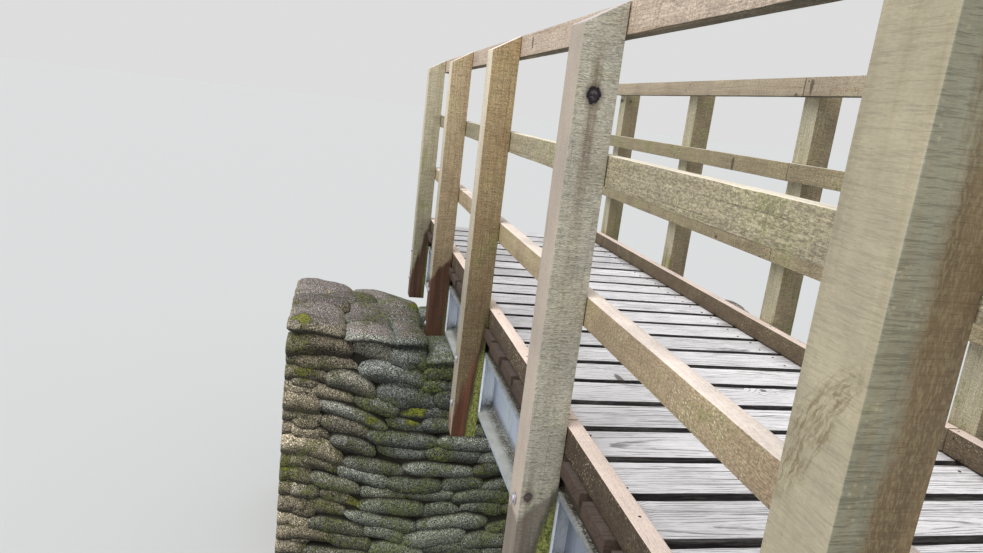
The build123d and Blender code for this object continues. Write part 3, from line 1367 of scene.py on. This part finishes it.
@dataclass
class BagWall:
    """One abutment of hardened bags, laid in bond round a core."""

    node: str
    finish: bpy.types.Material
    rng: random.Random
    course: float = 0.079
    bag_face: float = 0.27
    bag_depth: float = 0.19
    bag_height: float = 0.088
    pattern_count: int = 8
    swell_play: tuple[float, float] = (0.94, 1.04)
    depth_play: tuple[float, float] = (0.96, 1.0)
    height_play: tuple[float, float] = (0.90, 1.08)
    droop: tuple[float, float] = (-0.016, 0.010)
    tilts: tuple[float, float, float] = (0.06, 0.10, 0.05)
    brown_ends: tuple[float, float] = (0.95, 0.35)
    brown_play: tuple[float, float] = (-0.25, 0.35)
    lengths: tuple[float, ...] = (0.72, 0.86, 1.0, 1.2, 1.42)
    length_play: tuple[float, float] = (0.94, 1.06)
    shortest: float = 0.13
    sliver: float = 0.03
    overlap: float = 0.048
    most_inset: float = 0.036
    thickness: tuple[float, float] = (1.58, 2.00)
    uneven: tuple[float, float] = (-0.012, 0.010)
    lowest: float = 0.015
    corner: float = 0.045
    seat_level: float = 1.185
    seat_half: float = 0.725
    cap_rows: tuple[tuple[float, float], ...] = (
        (0.0, 0.018), (0.0, 0.0), (0.0, 0.0), (math.pi, 0.0), (math.pi, -0.018))
    cap_height: float = 1.10
    cap_lengths: tuple[float, float] = (0.65, 1.40)
    cap_last: float = 1.45
    cap_shortest: float = 0.16
    cap_overlap: tuple[float, float] = (0.030, 0.055)
    cap_uneven: tuple[float, float] = (-0.012, 0.003)
    cover: float = 0.050
    core_cell: float = 0.14
    core_depth: float = 0.1
    sag: float = 0.120
    sag_reach: tuple[float, float] = (1.40, 0.70)
    sag_height: tuple[float, float] = (1.05, 0.29)
    slump: float = 0.022
    slump_size: float = 3.2
    lumps: Wave = Wave("bag_lumps", 0.045, 0.013)
    crisp: float = 60.0
    patterns: dict[BagShape, list[Thing]] = field(default_factory=dict)
    laid: list[Thing] = field(default_factory=list)
    low: Vector = field(init=False)
    high: Vector = field(init=False)

    def __post_init__(self) -> None:
        """Read the wall's two opposite corners."""
        self.low, self.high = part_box(self.node)

    def sew(self, shape: BagShape, number: int) -> Thing:
        """Model one filled bag that lies along X with its rounded long side to -Y.

        Args:
            shape: How the bag is rounded.
            number: The number of the pattern.

        Returns:
            The pattern.
        """
        size = Vector((self.bag_face, self.bag_depth, self.bag_height))
        name = f"bag_{shape.name.lower()}_{number}"
        bag = primitive(bpy.ops.mesh.primitive_cube_add, name, size=1.0, scale=size)
        hinge = size.y / 2 if shape is BagShape.WALLED_IN else 0.0
        with editing(bag):
            slice_through(Axis.ACROSS, [size.x * part for part, _, _ in shape.lengths if abs(part) < 0.5])
            slice_through(Axis.ALONG, [size.y * part for part, _ in shape.swell if abs(part) < 0.5])
            for part, high in shape.swell:
                place = size.y * part
                choose(bag, Part.VERT, lambda v: abs(v.co.y - place) < 0.002)
                bpy.ops.transform.resize(value=(1.0, 1.0, high * self.rng.uniform(*self.swell_play)),
                                         center_override=(0.0, place, 0.0))
            lean = self.rng.uniform(*self.droop) - self.droop[1]
            for part, deep, high in shape.lengths:
                place = size.x * part
                choose(bag, Part.VERT, lambda v: abs(v.co.x - place) < 0.002)
                deep *= self.rng.uniform(*self.depth_play)
                high *= self.rng.uniform(*self.height_play)
                bpy.ops.transform.resize(value=(1.0, deep, high), center_override=(place, hinge, 0.0))
                bpy.ops.transform.translate(value=(0.0, 0.0, lean * (2.0 * part) ** 2))
        points = [point.co for point in bag.data.vertices]
        fronts: dict[float, float] = {}
        for spot in points:
            key = round(spot.x, 3)
            fronts[key] = min(fronts.get(key, size.y), spot.y)
        depths = [0.0] * len(points)
        if hinge:
            depths = [spot.y - 0.7 * fronts[round(spot.x, 3)] + 0.3 * hinge for spot in points]
        # The depth behind the bag's front drives the painted crevice shade.
        mark(bag.data, "bag_depth", depths)
        return bag

    def lay(self, middle: Vector, size: Vector, turn: float, shape: BagShape) -> None:
        """Lay one bag.

        Args:
            middle: The bag's middle.
            size: Its length, depth and height.
            turn: Its turn about the vertical, in radians: at 0 it faces -Y.
            shape: How the bag is rounded.
        """
        tilt = Euler([stray(self.rng, most) for most in self.tilts])
        tilt.z += turn
        stretch = (size.x / self.bag_face, size.y / self.bag_depth, size.z / self.bag_height, 1.0)
        place = Matrix.Translation(middle) @ tilt.to_matrix().to_4x4() @ Matrix.Diagonal(stretch)
        bag = own_copy(self.rng.choice(self.patterns[shape]), place)
        tone = self.rng.uniform(0.0, 1.0)
        start, reach = self.brown_ends
        warmth = share((abs(middle.x) - start) / reach + self.rng.uniform(*self.brown_play))
        for name, value in (("bag_tone", tone), ("bag_warmth", warmth)):
            mark(bag.data, name, [value] * len(bag.data.vertices))
        self.laid.append(bag)

    def run(self, start: Vector, length: float, turn: float, level: int) -> None:
        """Lay one course of bags along a line on a face of the wall.

        Args:
            start: One end of the line, on the face.
            length: The line's length.
            turn: The turn of bags that face out of the wall, and so of the line.
            level: The number of the course.
        """
        step = Vector((math.cos(turn), math.sin(turn), 0.0))
        outward = Vector((math.sin(turn), -math.cos(turn), 0.0))
        at = -self.rng.uniform(0.0, 0.5) * self.bag_face
        while at < length - self.sliver:
            reach = self.bag_face * self.rng.choice(self.lengths) * self.rng.uniform(*self.length_play)
            begin = max(at, 0.0)
            end = max(min(at + reach, length), self.shortest)
            if length - end < self.shortest:
                end = length
            inset = self.bag_depth / 2 + self.rng.uniform(0.0, self.most_inset)
            middle = start + step * ((begin + end) / 2) - outward * inset
            height = self.course * self.rng.uniform(*self.thickness)
            middle.z = (level + 0.5) * self.course + self.rng.uniform(*self.uneven)
            shape = BagShape.ROUND_ABOUT if begin == 0.0 or end == length else BagShape.WALLED_IN
            if middle.z + self.course / 2 - self.sunk(middle) > self.lowest:
                self.lay(middle, Vector((end - begin + self.overlap, self.bag_depth, height)), turn, shape)
            at = end

    def faces(self, begin: float, end: float, level: int) -> None:
        """Lay one course on the wall's two long faces.

        Args:
            begin: The lower X of the course.
            end: The higher X of the course.
            level: The number of the course.
        """
        self.run(Vector((begin, self.low.y, 0)), end - begin, 0.0, level)
        self.run(Vector((end, self.high.y, 0)), end - begin, math.pi, level)

    def flanks(self, right: float, left: float, level: int) -> None:
        """Lay one course on a face towards +X and on one towards -X.

        Args:
            right: The X of the face towards +X.
            left: The X of the face towards -X.
            level: The number of the course.
        """
        length = self.high.y - self.low.y - 2 * self.corner
        self.run(Vector((right, self.low.y + self.corner, 0)), length, math.pi / 2, level)
        self.run(Vector((left, self.high.y - self.corner, 0)), length, -math.pi / 2, level)

    def cap(self, begin: float, end: float, top: float) -> None:
        """Lay a top course, five bags deep and in bond.

        Args:
            begin: The lower X of the course.
            end: The higher X of the course.
            top: The level of its top.
        """
        height = self.course * self.cap_height
        deep = (self.high.y - self.low.y) / len(self.cap_rows)
        for row, (turn, nudge) in enumerate(self.cap_rows):
            edges = [begin]
            while end - edges[-1] > self.cap_last * self.bag_face:
                edge = edges[-1] + self.bag_face * self.rng.uniform(*self.cap_lengths)
                edges.append(min(edge, end - self.cap_shortest))
            edges.append(end)
            for left, right in zip(edges, edges[1:]):
                middle = Vector(((left + right) / 2, self.low.y + deep * (row + 0.5) + nudge,
                                 top - height / 2 + self.rng.uniform(*self.cap_uneven)))
                size = Vector((right - left + self.cap_overlap[0], deep + self.cap_overlap[1], height))
                self.lay(middle, size, turn, BagShape.ROUND_ABOUT)

    def build(self) -> Thing:
        """Build the wall round its core.

        Returns:
            The finished piece.
        """
        for shape in BagShape:
            self.patterns[shape] = [self.sew(shape, n) for n in range(self.pattern_count)]
        shoulders = ((self.low.x, -self.seat_half), (self.seat_half, self.high.x))
        seat_courses = round(self.seat_level / self.course)
        for level in range(round(self.high.z / self.course) - 1):
            for begin, end in shoulders if level >= seat_courses - 1 else ((self.low.x, self.high.x),):
                self.faces(begin, end, level)
            self.flanks(self.high.x, self.low.x, level)
            if level >= seat_courses - 2:
                self.flanks(-self.seat_half, self.seat_half, level)
        for begin, end in shoulders:
            self.cap(begin, end, self.high.z)
        wall = join(self.node + "_bags", [self.core()] + self.laid)
        for point in wall.data.vertices:
            point.co.z -= self.sunk(point.co)
        self.laid = []
        for level in (seat_courses - 3, seat_courses - 2):
            self.faces(-self.seat_half, self.seat_half, level)
        self.cap(-self.seat_half, self.seat_half, self.seat_level)
        wall = join(wall.name, [wall] + self.laid)
        self.weather(wall)
        for pattern in sum(self.patterns.values(), []):
            bpy.data.objects.remove(pattern)
        return dress(wall, self.finish, self.node)

    def core(self) -> Thing:
        """Model the inside of the wall, which shows only between bags, where it is painted near black as
        crevice shade.

        Returns:
            The core.
        """
        height = self.seat_level - self.cover
        inside = self.high - self.low - Vector((2 * self.cover, 2 * self.cover, 0.0))
        core = primitive(
            bpy.ops.mesh.primitive_cube_add, "core", size=1.0, scale=(inside.x, inside.y, height),
            location=(0.0, (self.low.y + self.high.y) / 2, height / 2))
        with editing(core):
            slice_through(Axis.ACROSS, (-self.seat_half - self.cover, self.seat_half + self.cover))
            choose(core, Part.FACE,
                   lambda face: face.normal.z > 0.9 and abs(face.calc_center_median().x) > self.seat_half)
            rise = (0.0, 0.0, self.high.z - self.cover - height)
            bpy.ops.mesh.extrude_region_move(TRANSFORM_OT_translate={"value": rise})
            for axis in Axis:
                start, end = self.low[axis.value], self.high[axis.value]
                count = int((end - start) / self.core_cell)
                slice_through(axis, [start + self.core_cell * n for n in range(1, count + 1)])
        # Its depth gives the core the full painted crevice shade.
        mark(core.data, "bag_depth", [self.core_depth] * len(core.data.vertices))
        return core

    def sunk(self, spot: Vector) -> float:
        """Say how far a spot has sunk: most between the shoulders, next to nothing at the corners.

        Args:
            spot: A place in the bridge's frame.

        Returns:
            The way down in metres.
        """
        high = share((spot.z - self.sag_height[0]) / self.sag_height[1])
        dip = share((self.sag_reach[0] - abs(spot.x)) / self.sag_reach[1])
        soft = soft_noise.noise(spot * self.slump_size)
        return self.sag * (1.0 - 0.5 * high) * dip * dip * (3.0 - 2.0 * dip) + self.slump * (1.0 + soft)

    def weather(self, wall: Thing) -> None:
        """Roughen the bags and press what stands out back into the wall's box.

        Args:
            wall: The joined wall.
        """
        self.lumps.shape(wall)
        with editing(wall):
            for axis in Axis:
                press_flat(wall, axis, self.high[axis.value], above=True)
                press_flat(wall, axis, self.low[axis.value], above=False)
            reach, limit = self.seat_half - 0.004, self.seat_level + 0.05
            press_flat(wall, Axis.UP, self.seat_level, above=True,
                       where=lambda spot: abs(spot.x) < reach and spot.z < limit)
        settle(wall, self.crisp)


@dataclass(frozen=True)
class Viewpoint:
    """Where the picture is taken from."""

    place: tuple[float, float, float] = (-1.1916, -1.6086, 2.3637)
    yaw: float = 12.6
    pitch: float = 13.0
    roll: float = 6.7
    focal: float = 716.5
    picture_width: int = 983

    def build(self) -> None:
        """Set up the camera."""
        yaw, pitch, roll = (math.radians(a) for a in (self.yaw, self.pitch, self.roll))
        ahead = Vector((math.sin(yaw) * math.cos(pitch), math.cos(yaw) * math.cos(pitch), -math.sin(pitch)))
        level = Vector((math.cos(yaw), -math.sin(yaw), 0.0))
        upright = level.cross(ahead)
        right = level * math.cos(roll) + upright * math.sin(roll)
        up = upright * math.cos(roll) - level * math.sin(roll)
        lens = bpy.data.cameras.new("viewpoint")
        lens.sensor_fit = "HORIZONTAL"
        lens.sensor_width = 36.0
        lens.lens = lens.sensor_width * self.focal / self.picture_width
        lens.clip_start = 0.02
        camera = bpy.data.objects.new("viewpoint", lens)
        bpy.context.collection.objects.link(camera)
        turned = Matrix((right, up, -ahead)).transposed().to_4x4()
        camera.matrix_world = Matrix.Translation(self.place) @ turned
        bpy.context.scene.camera = camera


@dataclass(frozen=True)
class Studio:
    """The pale floor, the soft lamp and the sky."""

    floor_colour: Colour = (0.70, 0.705, 0.70)
    floor_radius: float = 400.0
    backdrop: Colour = (0.72, 0.725, 0.72)
    sky: Colour = (0.95, 0.98, 1.0)
    sky_strength: float = 0.52
    lamp_from: tuple[float, float, float] = (-0.52, -0.40, 0.90)
    lamp_strength: float = 2.0
    lamp_spread: float = 50.0

    def build(self) -> None:
        """Set up the floor and the light."""
        floor = primitive(bpy.ops.mesh.primitive_circle_add, "floor", vertices=96, radius=self.floor_radius,
                          fill_type="NGON", location=(0.0, 0.0, 0.0))
        paper = bpy.data.materials.new("floor_paper")
        paper.use_nodes = True
        shader = paper.node_tree.nodes["Principled BSDF"]
        shader.inputs["Base Color"].default_value = rgba(self.floor_colour)
        shader.inputs["Roughness"].default_value = 0.9
        floor.data.materials.append(paper)
        lamp = bpy.data.lights.new("softbox", "SUN")
        lamp.energy = self.lamp_strength
        lamp.angle = math.radians(self.lamp_spread)
        holder = bpy.data.objects.new("softbox", lamp)
        holder.rotation_euler = Vector(self.lamp_from).to_track_quat("Z", "Y").to_euler()
        bpy.context.collection.objects.link(holder)
        self.light_sky()
        bpy.context.scene.view_settings.view_transform = "Standard"

    def light_sky(self) -> None:
        """Set up a sky that lights the bridge plainly and looks like the backdrop to camera and metal."""
        world = bpy.data.worlds.new("sky")
        world.use_nodes = True
        bpy.context.scene.world = world
        graph = Graph(world.node_tree)
        light = world.node_tree.nodes["Background"]
        light.inputs["Color"].default_value = rgba(self.sky)
        light.inputs["Strength"].default_value = self.sky_strength
        shown = graph.node("Background", {"Color": rgba(self.backdrop), "Strength": 1.0})
        rays = graph.node("LightPath", {}).outputs
        seen = graph.math("MAXIMUM", rays["Is Camera Ray"], rays["Is Glossy Ray"])
        blend = graph.node("MixShader", {0: seen, 1: light.outputs[0], 2: shown.outputs[0]})
        graph.tree.links.new(blend.outputs[0], world.node_tree.nodes["World Output"].inputs["Surface"])


# Finishes

SILVER_POST = PostTimber(
    "silver_post_timber", top=(0.66, 0.58, 0.56), outer=(0.50, 0.42, 0.35), inner=(0.30, 0.27, 0.18),
    ends=(0.505, 0.475, 0.39), under=(0.10, 0.08, 0.06), stain=(0.32, 0.29, 0.17), saw=0.34, grain=0.03,
    rings=0.03, streaks=0.3, checks=0.2, speckle=0.38, outer_calm=0.75, nap=(820.0, 115.0), foot_top=1.475,
    foot=(0.20, 0.16, 0.13), foot_stain=0.75, foot_slope=1.0, foot_moss=0.95, moss_top=1.48, moss_slope=0.21,
    knots=((0.6615, 2.421, 0.0225, 1.0), (0.6826, 1.432, 0.0150, 0.72)))
BEIGE_POST = PostTimber(
    "beige_post_timber", top=(0.66, 0.58, 0.52), outer=(0.49, 0.43, 0.305), inner=(0.30, 0.27, 0.18),
    ends=(0.300, 0.290, 0.215), under=(0.10, 0.08, 0.06), stain=(0.31, 0.255, 0.14), saw=0.26,
    saw_elsewhere=0.60, heart_side=0.9, heart=(0.215, 0.148, 0.080), outer_calm=0.2, checks=0.0, speckle=0.08,
    blotch=0.17, height_light=0.24, grain=0.02, rings=0.0, streaks=0.55, nap=(520.0, 90.0), burr=0.80,
    foot=(0.12, 0.09, 0.06), foot_stain=0.8, foot_slope=0.4, foot_moss=0.8)
BROWN_POST = PostTimber(
    "brown_post_timber", top=(0.72, 0.64, 0.58), outer=(0.50, 0.44, 0.34), inner=(0.30, 0.26, 0.17),
    ends=(0.34, 0.26, 0.16), under=(0.09, 0.07, 0.05), stain=(0.24, 0.125, 0.06), algae=0.34, speckle=0.30,
    height_light=0.42, foot=(0.125, 0.050, 0.029), foot_slope=0.80, foot_stain=0.92, foot_moss=0.45,
    moss_slope=0.045, nap=(240.0, 200.0))
RED_POST = replace(
    BROWN_POST, name="red_post_timber", ends=(0.285, 0.208, 0.114), height_light=0.65,
    foot=(0.20, 0.070, 0.040), foot_slope=0.22, foot_moss=1.0, moss_slope=0.080)
FAR_POST = replace(
    BROWN_POST, name="far_post_timber", ends=(0.42, 0.37, 0.27), stain=(0.26, 0.25, 0.12), algae=0.42,
    foot_slope=0.3)
GREEN_POST = PostTimber(
    "green_post_timber", top=(0.62, 0.55, 0.48), outer=(0.40, 0.35, 0.26), inner=(0.55, 0.50, 0.36),
    ends=(0.31, 0.25, 0.16), under=(0.09, 0.07, 0.05), stain=(0.28, 0.25, 0.13), algae=0.36, speckle=0.26,
    nap=(200.0, 190.0), foot_stain=0.7, foot_moss=0.8)
MID_RAIL = SawnTimber(
    "mid_rail_timber", top=(0.86, 0.77, 0.63), outer=(0.375, 0.322, 0.222), inner=(0.40, 0.33, 0.21),
    ends=(0.30, 0.24, 0.16), under=(0.09, 0.075, 0.05), stain=(0.19, 0.155, 0.085), flecks=0.55, saw=0.35,
    saw_elsewhere=0.5, algae=0.36, outer_calm=0.0, speckle=0.38)
TOP_RAIL = replace(
    MID_RAIL, name="top_rail_timber", top=(0.76, 0.66, 0.58), outer=(0.54, 0.43, 0.34),
    inner=(0.46, 0.38, 0.275), stain=(0.32, 0.22, 0.14), algae=0.24, flecks=0.3, speckle=0.28)
LOW_RAIL = replace(
    MID_RAIL, name="low_rail_timber", top=(0.86, 0.74, 0.66), outer=(0.39, 0.295, 0.19),
    stain=(0.24, 0.19, 0.10), flecks=0.8, speckle=0.34, blotch=0.18, checks=0.1, grain=0.06, rings=0.06)
KERB = replace(
    MID_RAIL, name="kerb_timber", top=(0.86, 0.70, 0.61), outer=(0.083, 0.058, 0.038),
    inner=(0.16, 0.12, 0.078), ends=(0.24, 0.19, 0.13), under=(0.07, 0.055, 0.04), stain=(0.09, 0.065, 0.045),
    fleck=(0.52, 0.44, 0.28), flecks=0.75, algae=0.24, checks=0.1, grain=0.05, rings=0.05)
# The deck's ends tint, on the board sides that face the gaps, is near black as painted shade in the gaps
# between boards.
DECK = WalkedTimber(
    "deck_timber", top=(0.99, 0.96, 0.98), outer=(0.16, 0.10, 0.07), inner=(0.16, 0.11, 0.08),
    ends=(0.034, 0.030, 0.032), under=(0.10, 0.085, 0.07), stain=(0.44, 0.40, 0.38), grain=0.16, rings=0.16,
    streaks=0.35, saw=0.0, algae=0.10, flecks=0.0, checks=0.9, grooves=0.64, ring_pitch=0.0078,
    check_pitch=0.012, nap=(26.0, 300.0), speckle=0.46, blotch=0.05, relief=0.0013)
# The bearer's top and outer tints are near black as painted shade: it sits in shadow under the board ends.
BEARER = SawnTimber(
    "bearer_timber", top=(0.06, 0.048, 0.038), outer=(0.060, 0.045, 0.034), inner=(0.14, 0.10, 0.07),
    ends=(0.18, 0.14, 0.09), under=(0.08, 0.06, 0.04), stain=(0.07, 0.055, 0.04), flecks=0.2)
TIMBERS = (SILVER_POST, BEIGE_POST, BROWN_POST, RED_POST, FAR_POST, GREEN_POST, TOP_RAIL, MID_RAIL, LOW_RAIL,
           KERB, DECK, BEARER)
POST_FINISHES = {
    "post_left_1": BEIGE_POST, "post_left_2": SILVER_POST, "post_left_3": BEIGE_POST,
    "post_left_4": SILVER_POST, "post_left_5": RED_POST, "post_left_6": BROWN_POST, "post_left_7": FAR_POST,
}


def main() -> None:
    """Build every sub-assembly in order and report it."""
    logging.basicConfig(level=logging.INFO, format="%(message)s")
    rng = random.Random(TIMBER_SEED)
    wall_rng = random.Random(WALL_SEED)
    pick_only([next(iter(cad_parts.values()))])
    made = {finish.name: finish.build() for finish in TIMBERS}
    zinc = ZincCoat("zinc_coat").build()
    # The cleats' very pale web colours are painted light: the cleats catch more light than the joists.
    cleat_zinc = ZincCoat("cleat_zinc", web=(0.88, 0.92, 0.96), lilac=(0.88, 0.91, 0.98)).build()
    bolt_zinc = PlainMetal("bolt_zinc", (0.56, 0.54, 0.60), (0.36, 0.33, 0.34)).build()
    nail_rust = PlainMetal("nail_rust", (0.085, 0.06, 0.045), (0.045, 0.033, 0.028)).build()
    bags = BaggedConcrete("bagged_concrete").build()
    pieces: list[Thing] = []
    for node in sorted(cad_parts):
        if node.startswith(("post_left", "post_right")):
            finish = made[POST_FINISHES.get(node, GREEN_POST).name]
            pieces.append(WornTimber(node, Axis.UP, "post_timber", finish, rng).build())
        elif node.startswith("deck_bay"):
            boards = DeckBoards(node, Axis.ACROSS, "deck_timber", made[DECK.name], rng, arris=0.004,
                                cell=0.04, hollow=0.0025, fibre_lift=0.0022, fibre_size=0.011,
                                pith_aside=0.14)
            pieces.append(boards.build())
        elif node.startswith("bearer"):
            bearer = WornTimber(node, Axis.ALONG, "bearer_timber", made[BEARER.name], rng, cell=0.06,
                                cross_cuts=1)
            pieces.append(bearer.build())
        elif "rail" in node or node.startswith("kerb"):
            finish = made[node.rsplit("_", 1)[0] + "_timber"]
            pieces.append(WornTimber(node, Axis.ALONG, "rail_timber", finish, rng, cross_cuts=2).build())
        elif node.startswith("abutment"):
            pieces.append(BagWall(node, bags, wall_rng).build())
        else:
            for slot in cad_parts[node].material_slots:
                slot.material = cleat_zinc if "cleat" in node else zinc
    pieces += BoltSet(bolt_zinc, rng).build()
    pieces += NailSet(nail_rust, rng).build()
    for piece in pieces:
        log.info("%s: %d faces", piece.name, len(piece.data.polygons))
    Studio().build()
    Viewpoint().build()


if __name__ == "__main__":
    main()
